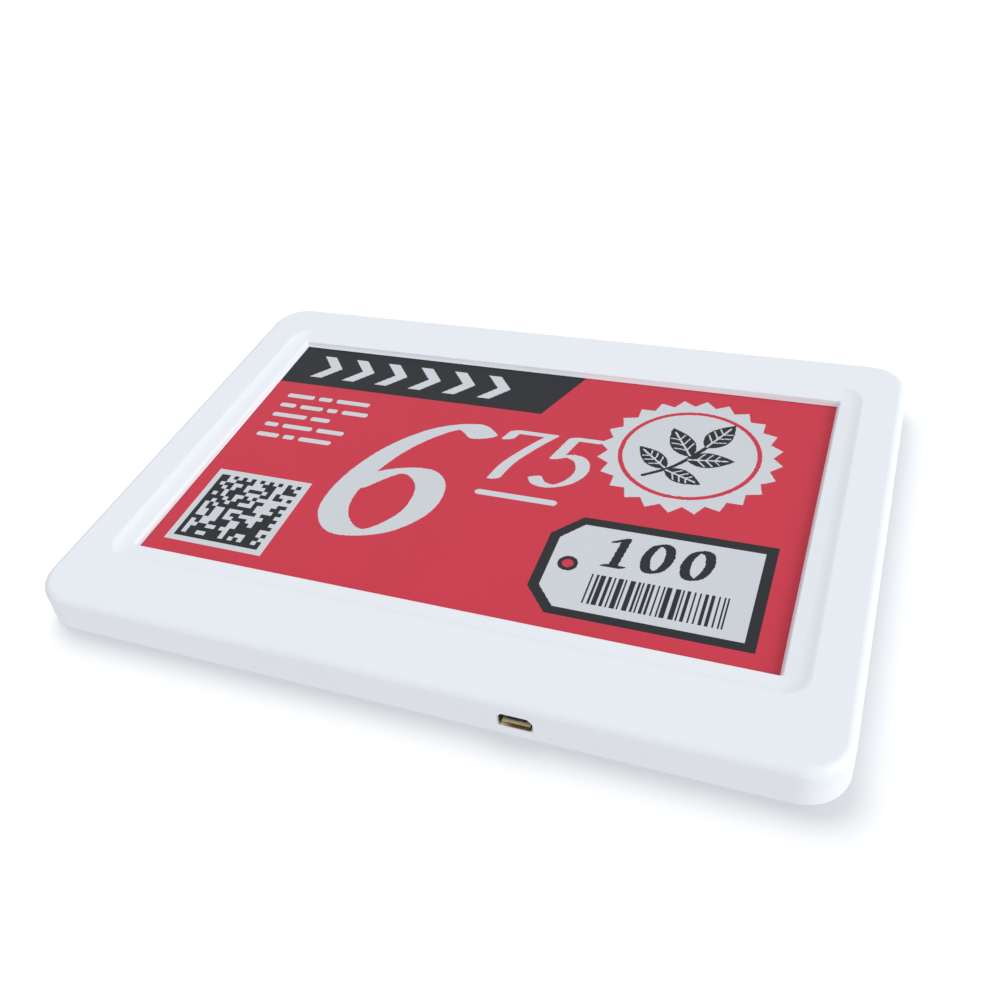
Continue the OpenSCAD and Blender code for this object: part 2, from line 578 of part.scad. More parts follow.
module battery_cell() color([0.74, 0.75, 0.77]) {
  translate([cell_x, cell_y, 0]) soft_plate(cell_w, cell_l, 2.4, cell_z1 - cell_t, cell_z1, 1);
  // sealed end with the tabs
  bx([cell_x - cell_w / 2 + 4, cell_y - cell_l / 2 - 3.6, cell_z1 - 1.6], [cell_x + cell_w / 2 - 7, cell_y - cell_l / 2 + 1, cell_z1 - 1.3]);
}
cell_end = cell_y - cell_l / 2;
module battery_board() color([0.05, 0.28, 0.16])
  bx([cell_x - 16, cell_end - 3.4, cell_z1 - 2.4], [cell_x + cell_w / 2 - 5, cell_end - 0.3, cell_z1 - 1.6]);
module battery_end_tape() color([0.8, 0.55, 0.15])
  difference() {
    bx([cell_x - cell_w / 2 + 3, cell_end - 3.8, cell_z1 - 2.62], [cell_x + cell_w / 2 - 3, cell_end - 0.1, cell_z1 - 1.1]);
    bx([cell_x - cell_w / 2 - 3, cell_end - 3.6, cell_z1 - 2.42], [cell_x + cell_w / 2 + 3, cell_end + 1, cell_z1 - 1.3]);
  }
module battery_adhesive() color([0.92, 0.92, 0.9])
  for (x = [-18, 18]) bx([cell_x + x - 7, cell_y - 38, cell_z1], [cell_x + x + 7, cell_y + 38, ret_z0]);
module battery_pad() color([0.25, 0.25, 0.27])
  bx([cell_x - 20, cell_y - 30, floor_t], [cell_x + 20, cell_y + 30, cell_z1 - cell_t]);

// leads: out of the plug, down beside the cell, and along to its end board
plug_y = -20.5; plug_z = pcb_z0 - 1.72; lead_z = plug_z - 0.36;
module lead(dy, r) {
  yb = cell_end - 1.8 + dy * 0.75;
  xe = cell_x + cell_w / 2 - 5;
  xt = -19.2 - dy;                 // the straight run down
  b = 1.4;
  ya = plug_y + dy;
  translate([xt + b, ya, lead_z]) rotate([0, 90, 0]) cylinder(r = r, h = -17 - xt - b, $fn = 24);
  translate([xt + b, ya - b, lead_z]) rotate([0, 0, 90]) rotate_extrude(angle = 90, $fn = 32) translate([b, 0]) circle(r = r, $fn = 24);
  translate([xt, yb + b, lead_z]) rotate([-90, 0, 0]) cylinder(r = r, h = ya - b - yb - b, $fn = 24);
  translate([xt - b, yb + b, lead_z]) rotate([0, 0, 270]) rotate_extrude(angle = 90, $fn = 32) translate([b, 0]) circle(r = r, $fn = 24);
  translate([xe, yb, lead_z]) rotate([0, 90, 0]) cylinder(r = r, h = xt - b - xe, $fn = 24);
}
module battery_lead_red() color("red") lead(0.65, 0.42);
module battery_lead_black() color([0.08, 0.08, 0.08]) lead(-0.65, 0.42);

module battery_plug() color([0.93, 0.92, 0.88])
  bx([-17, plug_y - 2.1, plug_z - 1], [-11, plug_y + 2.1, plug_z + 0.9]);
module battery_socket() color([0.93, 0.92, 0.88])
  difference() {
    bx([-13.2, plug_y - 3.2, plug_z - 1.35], [-8.4, plug_y + 3.2, pcb_z0]);
    bx([-14, plug_y - 2.2, plug_z - 1.06], [-10.9, plug_y + 2.2, plug_z + 0.96]);
  }

front_cover();
rear_cover();
cover_screws();
display_gasket();
display_cover_film();
epaper_film();
display_glass();
display_driver_ic();
display_flex();
display_retainer();
retainer_screws();
insulation_sheet();
main_pcb();
pcb_screws();
flex_socket_body();
flex_socket_latch();
flex_socket_contacts();
usb_shell();
usb_insulator();
usb_contacts();
radio_board();
radio_shield();
radio_antenna();
power_inductor();
chip_packages();
chip_leads();
chip_capacitors();
chip_resistors();
power_diodes();
clock_crystal();
switch_body();
switch_cover();
switch_plunger();
rear_button();
battery_cell();
battery_board();
battery_end_tape();
battery_adhesive();
battery_pad();
battery_lead_red();
battery_lead_black();
battery_plug();
battery_socket();
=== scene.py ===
"""Looks of a 7.5 inch electronic shelf label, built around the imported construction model.

Everything is in metres, in the frame of the construction model: +X along the long side,
+Y towards the top of the display, +Z out of the display.
"""

import json
import math
import random

import bmesh
import bpy
import numpy as np
from mathutils import Matrix, Vector
from mathutils.geometry import delaunay_2d_cdt

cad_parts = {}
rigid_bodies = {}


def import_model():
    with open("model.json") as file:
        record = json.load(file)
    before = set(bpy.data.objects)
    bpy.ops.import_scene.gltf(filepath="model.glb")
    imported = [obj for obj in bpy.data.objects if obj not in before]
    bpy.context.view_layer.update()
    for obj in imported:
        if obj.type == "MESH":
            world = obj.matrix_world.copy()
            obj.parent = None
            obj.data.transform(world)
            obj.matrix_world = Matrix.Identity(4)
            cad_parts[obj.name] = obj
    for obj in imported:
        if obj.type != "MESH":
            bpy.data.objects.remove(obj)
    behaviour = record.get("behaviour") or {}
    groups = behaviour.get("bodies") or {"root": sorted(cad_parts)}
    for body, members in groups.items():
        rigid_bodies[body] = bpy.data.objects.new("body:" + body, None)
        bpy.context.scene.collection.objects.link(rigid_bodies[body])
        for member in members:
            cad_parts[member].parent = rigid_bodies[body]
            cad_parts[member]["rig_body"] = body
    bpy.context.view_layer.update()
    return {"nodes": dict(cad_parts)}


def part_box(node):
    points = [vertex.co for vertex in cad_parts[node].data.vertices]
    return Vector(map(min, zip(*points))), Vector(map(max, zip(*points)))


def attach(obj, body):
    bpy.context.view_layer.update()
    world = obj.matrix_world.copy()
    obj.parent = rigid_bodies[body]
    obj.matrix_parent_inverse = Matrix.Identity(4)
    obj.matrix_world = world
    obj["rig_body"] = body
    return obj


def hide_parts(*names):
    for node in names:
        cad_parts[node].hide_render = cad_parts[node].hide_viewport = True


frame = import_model()
nodes = frame["nodes"]
MM = 0.001


# ---------------------------------------------------------------- camera

cam_data = bpy.data.cameras.new("camera")
cam_data.sensor_width = 36.0
cam_data.lens = 38.28
cam_data.shift_x = 0.0499
cam_data.shift_y = 0.0095
cam_data.clip_start = 0.01
cam_data.clip_end = 20.0
cam = bpy.data.objects.new("camera", cam_data)
bpy.context.scene.collection.objects.link(cam)
right = Vector((0.921807, 0.367371, -0.123733))
down = Vector((0.154235, -0.640414, -0.752384))
look = Vector((-0.355645, 0.674469, -0.646999))
turn = Matrix((right, -down, -look)).transposed().to_4x4()
cam.matrix_world = Matrix.Translation((0.092030, -0.198748, 0.186573)) @ turn
bpy.context.scene.camera = cam


# ---------------------------------------------------------------- material tools

def start_material(name):
    m = bpy.data.materials.new(name)
    m.use_nodes = True
    nt = m.node_tree
    nt.nodes.clear()
    out = nt.nodes.new("ShaderNodeOutputMaterial")
    b = nt.nodes.new("ShaderNodeBsdfPrincipled")
    nt.links.new(b.outputs[0], out.inputs["Surface"])
    co = nt.nodes.new("ShaderNodeTexCoord")
    return m, nt, b, co.outputs["Object"]


def noise(nt, co, scale, detail=2.0, rough=0.5, stretch=None, offset=None):
    if stretch or offset:
        mp = nt.nodes.new("ShaderNodeMapping")
        if stretch:
            mp.inputs["Scale"].default_value = stretch
        if offset:
            mp.inputs["Location"].default_value = offset
        nt.links.new(co, mp.inputs["Vector"])
        co = mp.outputs["Vector"]
    n = nt.nodes.new("ShaderNodeTexNoise")
    n.inputs["Scale"].default_value = scale
    n.inputs["Detail"].default_value = detail
    n.inputs["Roughness"].default_value = rough
    nt.links.new(co, n.inputs["Vector"])
    return n.outputs["Fac"]


def remap(nt, value, a, b, lo, hi, smooth=False):
    r = nt.nodes.new("ShaderNodeMapRange")
    r.interpolation_type = "SMOOTHSTEP" if smooth else "LINEAR"
    r.inputs["From Min"].default_value = a
    r.inputs["From Max"].default_value = b
    r.inputs["To Min"].default_value = lo
    r.inputs["To Max"].default_value = hi
    nt.links.new(value, r.inputs["Value"])
    return r.outputs["Result"]


def math_node(nt, op, a, b=None):
    n = nt.nodes.new("ShaderNodeMath")
    n.operation = op
    for socket, value in ((n.inputs[0], a), (n.inputs[1], b)):
        if value is None:
            continue
        if isinstance(value, (int, float)):
            socket.default_value = value
        else:
            nt.links.new(value, socket)
    return n.outputs[0]


def mix_colors(nt, fac, a, b):
    n = nt.nodes.new("ShaderNodeMix")
    n.data_type = "RGBA"
    for socket, value in ((n.inputs[6], a), (n.inputs[7], b)):
        if isinstance(value, tuple):
            socket.default_value = (*value, 1.0)
        else:
            nt.links.new(value, socket)
    if isinstance(fac, (int, float)):
        n.inputs[0].default_value = fac
    else:
        nt.links.new(fac, n.inputs[0])
    return n.outputs[2]


def shade(c, k):
    return tuple(min(1.0, x * k) for x in c)


def bump(nt, shader, height, distance, strength=1.0, below=None):
    n = nt.nodes.new("ShaderNodeBump")
    n.inputs["Strength"].default_value = strength
    n.inputs["Distance"].default_value = distance
    nt.links.new(height, n.inputs["Height"])
    if below is not None:
        nt.links.new(below, n.inputs["Normal"])
    nt.links.new(n.outputs["Normal"], shader.inputs["Normal"])
    return n.outputs["Normal"]


def finish_material(name, color, rough=0.5, metal=0.0, spec=0.5, vary=0.04, patch=60.0, rough_vary=0.06,
                    grain=4000.0, grain_height=4e-6, stretch=None, coat=0.0, coat_rough=0.1, detail=2.0):
    """A surface with patchy colour, patchy gloss and a fine surface grain."""
    m, nt, b, co = start_material(name)
    patches = noise(nt, co, patch, 4.0, 0.55, stretch)
    fine = noise(nt, co, grain * 0.35, 2.0, 0.5, stretch, (0.3, 0.1, 0.7))
    both = math_node(nt, "ADD", math_node(nt, "MULTIPLY", patches, 0.65), math_node(nt, "MULTIPLY", fine, 0.35))
    spread = remap(nt, both, 0.3, 0.7, 0.0, 1.0)
    nt.links.new(mix_colors(nt, spread, shade(color, 1 - vary), shade(color, 1 + vary)), b.inputs["Base Color"])
    nt.links.new(remap(nt, noise(nt, co, patch * 2.3, 3.0, 0.6, stretch, (1.7, 2.2, 0.4)), 0.3, 0.7,
                       max(0.02, rough - rough_vary), min(1.0, rough + rough_vary)), b.inputs["Roughness"])
    b.inputs["Metallic"].default_value = metal
    b.inputs["Specular IOR Level"].default_value = spec
    if coat:
        b.inputs["Coat Weight"].default_value = coat
        b.inputs["Coat Roughness"].default_value = coat_rough
    if grain_height:
        bump(nt, b, noise(nt, co, grain, detail, 0.6, stretch), grain_height)
    return m


def dress(name, material):
    """Gives a node of the construction model its material."""
    o = nodes[name]
    o.data.materials.clear()
    o.data.materials.append(material)


# ---------------------------------------------------------------- moulded shells

def refined_copy(node, name, material, smooth=28.0, edge=0.00006):
    """The node's own shape as one joined mesh, with its hard edges slightly broken and
    its curved stretches shaded as one surface."""
    src = nodes[node]
    bm = bmesh.new()
    bm.from_mesh(src.data)
    bmesh.ops.remove_doubles(bm, verts=bm.verts, dist=1.5e-6)
    bmesh.ops.dissolve_degenerate(bm, edges=bm.edges, dist=1e-6)
    bmesh.ops.dissolve_limit(bm, angle_limit=math.radians(0.4), verts=bm.verts, edges=bm.edges,
                             use_dissolve_boundaries=False, delimit={"NORMAL"})
    mesh = bpy.data.meshes.new(name)
    bm.to_mesh(mesh)
    bm.free()
    for p in mesh.polygons:
        p.use_smooth = True
        p.material_index = 0
    mesh.materials.append(material)
    o = bpy.data.objects.new(name, mesh)
    bpy.context.scene.collection.objects.link(o)
    if edge:
        bv = o.modifiers.new("broken_edges", "BEVEL")
        bv.width = edge
        bv.segments = 2
        bv.limit_method = "ANGLE"
        bv.angle_limit = math.radians(40)
        bv.use_clamp_overlap = True
        bv.harden_normals = False
    mesh.set_sharp_from_angle(angle=math.radians(smooth))
    wn = o.modifiers.new("flat_faces_stay_flat", "WEIGHTED_NORMAL")
    wn.mode = "FACE_AREA_WITH_ANGLE"
    wn.weight = 90
    wn.keep_sharp = True
    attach(o, src["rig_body"])
    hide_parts(node)
    return o


white = finish_material("white_plastic", (0.795, 0.822, 0.866), rough=0.42, spec=0.45, vary=0.012, patch=24.0,
                        rough_vary=0.05, grain=5200.0, grain_height=2.2e-6)
front = refined_copy("front_cover", "front_bezel", white)
rear = refined_copy("rear_cover", "rear_tray", white)


# ---------------------------------------------------------------- the displayed picture
# A made-up price page, drawn on the pixel grid of the display (800 x 480 pixels of
# 0.204 mm) and then turned into faces, so that every edge follows the pixel steps.

PITCH = 0.204
NX, NY = 800, 480
RED, BLACK, PALE, BORDER = 0, 1, 2, 3
U, V = np.meshgrid((np.arange(NX) + 0.5) * PITCH, (np.arange(NY) + 0.5) * PITCH)
page = np.zeros((NY, NX), int)


def window_of(u0, v0, u1, v1):
    i0, i1 = max(0, int(u0 / PITCH) - 1), min(NX, int(u1 / PITCH) + 2)
    j0, j1 = max(0, int(v0 / PITCH) - 1), min(NY, int(v1 / PITCH) + 2)
    return slice(j0, j1), slice(i0, i1)


def inside(pts, u, v):
    hit = np.zeros(u.shape, bool)
    for (x0, y0), (x1, y1) in zip(pts, pts[1:] + pts[:1]):
        if y0 == y1:
            continue
        cross = ((y0 > v) != (y1 > v)) & (u < (x1 - x0) * (v - y0) / (y1 - y0) + x0)
        hit ^= cross
    return hit


def paint_poly(pts, ink):
    s = window_of(min(p[0] for p in pts), min(p[1] for p in pts), max(p[0] for p in pts), max(p[1] for p in pts))
    page[s][inside(pts, U[s], V[s])] = ink


def paint_disc(cx, cy, r, ink):
    s = window_of(cx - r, cy - r, cx + r, cy + r)
    page[s][(U[s] - cx) ** 2 + (V[s] - cy) ** 2 < r * r] = ink


def paint_round_rect(u0, v0, u1, v1, r, ink):
    s = window_of(u0, v0, u1, v1)
    du = np.maximum(np.abs(U[s] - (u0 + u1) / 2) - ((u1 - u0) / 2 - r), 0)
    dv = np.maximum(np.abs(V[s] - (v0 + v1) / 2) - ((v1 - v0) / 2 - r), 0)
    page[s][du * du + dv * dv < r * r] = ink


def smooth_path(pts, steps=26):
    out = []
    p = [pts[0]] + list(pts) + [pts[-1]]
    for a, b, c, d in zip(p, p[1:], p[2:], p[3:]):
        for k in range(steps):
            t = k / steps
            out.append(tuple(0.5 * (2 * b[n] + (c[n] - a[n]) * t + (2 * a[n] - 5 * b[n] + 4 * c[n] - d[n]) * t * t
                                    + (3 * b[n] - a[n] - 3 * c[n] + d[n]) * t ** 3) for n in (0, 1)))
    out.append(pts[-1])
    return out


def paint_pen(path, wide, thin, angle, ink, curve=True):
    """A broad pen drawn along a path: wide across its angle and thin along it."""
    pts = smooth_path(path) if curve else [
        (a[0] + (b[0] - a[0]) * k / 60, a[1] + (b[1] - a[1]) * k / 60)
        for a, b in zip(path, path[1:]) for k in range(61)]
    ca, sa = math.cos(angle), math.sin(angle)
    for x, y in pts:
        s = window_of(x - wide, y - wide, x + wide, y + wide)
        du, dv = U[s] - x, V[s] - y
        page[s][((du * ca + dv * sa) / wide) ** 2 + ((dv * ca - du * sa) / thin) ** 2 < 1] = ink


STROKES = {
    "0": [(True, [(0.30, 0.95), (0.14, 0.84), (0.06, 0.50), (0.14, 0.16), (0.30, 0.05), (0.46, 0.16), (0.54, 0.50),
                  (0.46, 0.84), (0.30, 0.95)])],
    "1": [(False, [(0.12, 0.80), (0.33, 0.93)]), (False, [(0.33, 0.93), (0.33, 0.04)]),
          (False, [(0.16, 0.03), (0.50, 0.03)])],
    "5": [(False, [(0.20, 0.95), (0.54, 0.95)]), (False, [(0.20, 0.95), (0.15, 0.56)]),
          (True, [(0.15, 0.56), (0.30, 0.62), (0.46, 0.55), (0.54, 0.36), (0.48, 0.16), (0.33, 0.05), (0.17, 0.07),
                  (0.08, 0.16)])],
    "6": [(True, [(0.53, 0.90), (0.42, 0.96), (0.27, 0.88), (0.14, 0.68), (0.08, 0.42), (0.11, 0.18), (0.25, 0.04),
                  (0.42, 0.08), (0.52, 0.25), (0.49, 0.44), (0.37, 0.54), (0.22, 0.50), (0.11, 0.36)])],
    "7": [(False, [(0.07, 0.80), (0.10, 0.94)]), (False, [(0.10, 0.94), (0.56, 0.94)]),
          (True, [(0.56, 0.94), (0.42, 0.66), (0.30, 0.34), (0.27, 0.05)])],
}


def paint_number(text, u, v, size, ink, slant=0.16, weight=0.078, gap=0.64):
    for k, ch in enumerate(text):
        for curve, pts in STROKES[ch]:
            path = [(u + (k * gap + x + slant * y) * size, v + y * size) for x, y in pts]
            paint_pen(path, weight * size, 0.3 * weight * size, math.radians(18), ink, curve)


def paint_leaf(u, v, length, width, angle, ink, rib):
    ca, sa = math.cos(angle), math.sin(angle)
    s = window_of(u - length, v - length, u + length, v + length)
    x = (U[s] - u) * ca + (V[s] - v) * sa
    y = (V[s] - v) * ca - (U[s] - u) * sa
    t = np.clip(x / length, 0, 1)
    half = width / 2 * np.sin(math.pi * t ** 0.8) ** 0.9
    blade = (x > 0) & (x < length) & (np.abs(y) < half)
    page[s][blade] = ink
    vein = (np.abs(y) < 0.26) & (x < length * 0.86)
    for p in (0.22, 0.4, 0.58):
        vein |= (np.abs(x - (p * length + 0.75 * np.abs(y))) < 0.24) & (np.abs(y) > 0.2)
    page[s][blade & vein & (np.abs(y) < half - 0.45)] = rib


# dark strip with a slanted end, filled with chevrons
paint_poly([(-1, 78.6), (85.5, 78.6), (93.5, 99), (-1, 99)], BLACK)
for k in range(6):
    c = 11.5 + k * 11.2
    paint_poly([(c - 3.4, 82.6), (c + 0.6, 82.6), (c + 5.4, 88.3), (c + 0.6, 94.0), (c - 3.4, 94.0), (c + 1.4, 88.3)], PALE)

# big number with a small raised one
paint_number("6", 37.0, 17.5, 53.0, PALE)
paint_number("75", 75.5, 47.5, 23.0, PALE, weight=0.082)
paint_round_rect(79.0, 41.2, 101.5, 43.2, 1.0, PALE)

# lines of plain bars in the place of small print
for row, words in enumerate([(9.2, 4.4, 11.0), (5.2, 7.6, 3.4, 8.4), (11.4, 6.2), (4.4, 9.8, 8.8), (7.2, 3.6, 10.4)]):
    u, v = 6.2, 71.0 - row * 4.9
    for word in words:
        paint_round_rect(u, v, u + word, v + 1.9, 0.8, PALE)
        u += word + 1.6

# square block of random cells with a solid corner
rng = random.Random(20)
cells = 18
step = 1.428
bu, bv = 6.2, 7.0
paint_poly([(bu - 2, bv - 2), (bu + cells * step + 2, bv - 2), (bu + cells * step + 2, bv + cells * step + 2),
            (bu - 2, bv + cells * step + 2)], PALE)
for i in range(cells):
    for j in range(cells):
        solid = i == 0 or j == 0
        dotted = i == cells - 1 or j == cells - 1
        on = solid or (dotted and (i + j) % 2 == 0) or (not dotted and rng.random() < 0.52)
        if on:
            u, v = bu + i * step, bv + j * step
            paint_poly([(u, v), (u + step, v), (u + step, v + step), (u, v + step)], BLACK)

# seal with a toothed rim and a sprig
su, sv = 129.5, 69.5
rim = []
for k in range(48):
    r = 24.0 if k % 2 == 0 else 21.4
    rim.append((su + r * math.cos(math.pi * k / 24), sv + r * math.sin(math.pi * k / 24)))
paint_poly(rim, PALE)
paint_disc(su, sv, 18.6, RED)
paint_disc(su, sv, 17.4, PALE)
paint_pen([(su - 9.5, sv - 11.0), (su - 3.0, sv - 6.0), (su + 2.5, sv + 1.5), (su + 5.0, sv + 6.0)], 0.75, 0.5, 0.5, BLACK)
paint_leaf(su + 3.6, sv + 3.6, 12.6, 6.8, math.radians(62), BLACK, PALE)
paint_leaf(su - 0.2, sv - 2.4, 12.4, 6.2, math.radians(8), BLACK, PALE)
paint_leaf(su + 0.6, sv - 1.0, 13.4, 6.6, math.radians(122), BLACK, PALE)
paint_leaf(su - 4.8, sv - 7.6, 11.0, 5.4, math.radians(-22), BLACK, PALE)
paint_leaf(su - 4.6, sv - 7.2, 11.8, 5.8, math.radians(138), BLACK, PALE)

# tag panel with a heavy outline, a number and stripes
tag = [(103.5, 12.5), (110.0, 5.0), (157.5, 5.0), (157.5, 39.0), (110.0, 39.0), (103.5, 31.5)]
paint_poly(tag, BLACK)
paint_poly([(106.1, 13.5), (111.1, 7.6), (154.9, 7.6), (154.9, 36.4), (111.1, 36.4), (106.1, 30.5)], PALE)
paint_disc(110.6, 22.0, 2.5, BLACK)
paint_disc(110.6, 22.0, 1.4, RED)
paint_number("100", 117.5, 23.2, 11.0, BLACK, slant=0.12, weight=0.11, gap=0.86)
u = 117.2
for k in range(27):
    w = rng.choice((0.41, 0.41, 0.61, 0.82, 1.22))
    if u + w > 150.5:
        break
    paint_poly([(u, 10.2), (u + w, 10.2), (u + w, 20.0), (u, 20.0)], BLACK)
    u += w + rng.choice((0.41, 0.61, 0.82))


def build_picture():
    lo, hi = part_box("display_cover_film")
    pad = 8
    grid = np.pad(page, pad, mode="edge")
    h, w = grid.shape
    # outside the padded page the film shows its plain border
    big = np.full((h + 2, w + 2), BORDER)
    big[1:-1, 1:-1] = grid
    vert_edge = big[:, 1:] != big[:, :-1]      # edge on the left of cell column i
    flat_edge = big[1:, :] != big[:-1, :]
    vr = vert_edge[1:-1, :]                     # rows 0..h-1, lines 0..w
    fl = flat_edge[:, 1:-1]                     # lines 0..h, columns 0..w-1
    zc = np.zeros((1, w + 1), bool)
    up = np.vstack([vr, zc])                    # vertical edge above grid point
    dn = np.vstack([zc, vr])
    zr = np.zeros((h + 1, 1), bool)
    rt = np.hstack([fl, zr])
    lf = np.hstack([zr, fl])
    straight = (up & dn & ~rt & ~lf) | (rt & lf & ~up & ~dn)
    real = (up | dn | rt | lf) & ~straight
    x0 = (0.15 - NX * PITCH / 2 - pad * PITCH) * MM
    y0 = (2.8 - NY * PITCH / 2 - pad * PITCH) * MM
    index, pts, edges = {}, [], []
    for j, i in zip(*np.nonzero(real)):
        index[(int(j), int(i))] = len(pts)
        pts.append(Vector((x0 + i * PITCH * MM, y0 + j * PITCH * MM)))
    for j in range(h + 1):
        last = None
        for i in np.nonzero(real[j])[0]:
            i = int(i)
            if last is not None and lf[j, i]:
                edges.append((index[(j, last)], index[(j, i)]))
            last = i
    for i in range(w + 1):
        last = None
        for j in np.nonzero(real[:, i])[0]:
            j = int(j)
            if last is not None and dn[j, i]:
                edges.append((index[(last, i)], index[(j, i)]))
            last = j
    base = len(pts)
    for x, y in ((lo.x, lo.y), (hi.x, lo.y), (hi.x, hi.y), (lo.x, hi.y)):
        pts.append(Vector((x, y)))
    edges += [(base + k, base + (k + 1) % 4) for k in range(4)]
    # worked in millimetres, which suits the tolerance better
    out = delaunay_2d_cdt([p / MM for p in pts], edges, [], 0, 1e-6)
    verts = [Vector((p.x * MM, p.y * MM, hi.z)) for p in out[0]]
    tris = out[2]
    n = len(verts)
    corner = []
    for x, y in ((lo.x, lo.y), (hi.x, lo.y), (hi.x, hi.y), (lo.x, hi.y)):
        corner.append(min(range(n), key=lambda k: (verts[k].x - x) ** 2 + (verts[k].y - y) ** 2))
    verts += [Vector((verts[k].x, verts[k].y, lo.z)) for k in corner]
    inks = []
    faces = []
    for t in tris:
        a, b, c = (verts[k] for k in t)
        if (b - a).cross(c - a).z < 0:
            t = list(reversed(t))
        faces.append(tuple(t))
        m = (a + b + c) / 3
        i = int(math.floor((m.x - x0) / (PITCH * MM)))
        j = int(math.floor((m.y - y0) / (PITCH * MM)))
        inks.append(int(grid[j, i]) if 0 <= i < w and 0 <= j < h else BORDER)
    for k in range(4):
        k1 = (k + 1) % 4
        faces.append((n + k, n + k1, corner[k1], corner[k]))
        inks.append(BORDER)
    faces.append((n + 3, n + 2, n + 1, n))
    inks.append(BORDER)
    mesh = bpy.data.meshes.new("display_picture")
    mesh.from_pydata([tuple(v) for v in verts], [], faces)
    mesh.polygons.foreach_set("material_index", inks)
    mesh.update()
    o = bpy.data.objects.new("display_picture", mesh)
    bpy.context.scene.collection.objects.link(o)
    print("picture:", len(verts), "points", len(faces), "faces, shares",
          [round(float((page == k).mean()), 3) for k in (RED, BLACK, PALE)])
    return o


def ink_material(name, color, speck, rough=0.62, spec=0.22):
    """Paper-like film: capsule speckle, faint clouding, a matt anti-glare top."""
    m, nt, b, co = start_material(name)
    caps = nt.nodes.new("ShaderNodeTexVoronoi")
    caps.inputs["Scale"].default_value = 9000.0
    nt.links.new(co, caps.inputs["Vector"])
    cloud = noise(nt, co, 45.0, 4.0, 0.6)
    fine = noise(nt, co, 3600.0, 2.0, 0.6)
    mixed = math_node(nt, "ADD", math_node(nt, "MULTIPLY", cloud, 0.5), math_node(nt, "MULTIPLY", fine, 0.5))
    mixed = math_node(nt, "ADD", mixed, math_node(nt, "MULTIPLY", caps.outputs["Distance"], 0.12))
    fac = remap(nt, mixed, 0.32, 0.76, 0.0, 1.0)
    nt.links.new(mix_colors(nt, fac, shade(color, 1 - speck), shade(color, 1 + speck)), b.inputs["Base Color"])
    nt.links.new(remap(nt, fine, 0.3, 0.7, rough - 0.05, rough + 0.05), b.inputs["Roughness"])
    b.inputs["Specular IOR Level"].default_value = spec
    bump(nt, b, fine, 1.2e-6)
    return m


picture = build_picture()
picture.data.materials.append(ink_material("ink_red", (0.575, 0.040, 0.068), 0.035))
picture.data.materials.append(ink_material("ink_black", (0.022, 0.024, 0.027), 0.12))
picture.data.materials.append(ink_material("ink_pale", (0.60, 0.625, 0.66), 0.025))
picture.data.materials.append(ink_material("film_border", (0.60, 0.62, 0.64), 0.02))
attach(picture, "case")
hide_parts("display_cover_film")


# ---------------------------------------------------------------- the other pieces

steel = finish_material("plated_steel", (0.62, 0.62, 0.60), rough=0.30, metal=1.0, vary=0.05, patch=500.0, grain=9000.0,
                        grain_height=1.5e-6, rough_vary=0.08)
tin = finish_material("tinned_steel", (0.66, 0.66, 0.645), rough=0.34, metal=1.0, vary=0.06, patch=350.0, grain=7000.0,
                      grain_height=2e-6, stretch=(1, 3, 1), rough_vary=0.1)


def socket_plate_painted_shade():
    """Pale gold plating with painted shade: a brown painted shade on the front lip, deeper towards the right, and a
    near-black painted shade round the upper side and the side walls.
    """
    m, nt, b, co = start_material("pale_gold_plate_painted_shade")
    parts = nt.nodes.new("ShaderNodeSeparateXYZ")
    nt.links.new(co, parts.inputs[0])
    patches = noise(nt, co, 600.0, 4.0, 0.55)
    ragged = math_node(nt, "MULTIPLY", patches, 0.0002)
    height = math_node(nt, "ADD", parts.outputs["Z"], ragged)
    depth = math_node(nt, "ADD", parts.outputs["Y"], ragged)
    side = math_node(nt, "ABSOLUTE", math_node(nt, "SUBTRACT", parts.outputs["X"], 0.0313))
    # painted shade: the front lip is coloured brown, and the brown deepens towards the right
    lip_shade_mask = math_node(nt, "MULTIPLY", remap(nt, depth, -0.06985, -0.06965, 1.0, 0.0, True),
                    remap(nt, parts.outputs["X"], 0.0275, 0.0310, 0.35, 1.0, True))
    gold_tone = mix_colors(nt, remap(nt, patches, 0.3, 0.7, 0.0, 1.0), (0.96, 0.80, 0.44), (1.0, 0.87, 0.50))
    lip_shaded_gold = mix_colors(nt, lip_shade_mask, gold_tone, (0.15, 0.075, 0.04))
    # painted shade: above 4.2 mm and past the side walls the inside of the socket is coloured near-black, as if in
    # shadow
    interior_shade_mask = math_node(nt, "MAXIMUM", remap(nt, height, 0.0042, 0.0048, 0.0, 1.0, True),
                    remap(nt, side, 0.0031, 0.0034, 0.0, 1.0, True))
    nt.links.new(mix_colors(nt, interior_shade_mask, lip_shaded_gold, (0.055, 0.04, 0.03)), b.inputs["Base Color"])
    nt.links.new(remap(nt, noise(nt, co, 1400.0, 3.0, 0.6), 0.3, 0.7, 0.46, 0.58), b.inputs["Roughness"])
    b.inputs["Metallic"].default_value = 0.6
    bump(nt, b, noise(nt, co, 7000.0, 2.0, 0.6), 1e-6)
    return m


shell_gold = socket_plate_painted_shade()
gold = finish_material("gold_plate", (0.95, 0.70, 0.33), rough=0.26, metal=1.0, vary=0.05, patch=800.0, grain=9000.0,
                       grain_height=1e-6)
foam = finish_material("grey_foam", (0.05, 0.05, 0.055), rough=0.95, spec=0.2, vary=0.25, patch=900.0, grain=3500.0,
                       grain_height=4e-5, detail=4.0)
pale_film = finish_material("ink_layer", (0.58, 0.60, 0.60), rough=0.55, spec=0.3, vary=0.03, patch=60.0, grain=6000.0,
                            grain_height=1e-6)
glass = finish_material("display_glass", (0.20, 0.27, 0.26), rough=0.08, spec=0.6, vary=0.05, patch=18.0, grain=2000.0,
                        grain_height=2e-7, coat=0.6, coat_rough=0.03, rough_vary=0.02)
silicon = finish_material("driver_silicon", (0.035, 0.04, 0.05), rough=0.18, spec=0.7, vary=0.2, patch=700.0,
                          grain=9000.0, grain_height=4e-7)
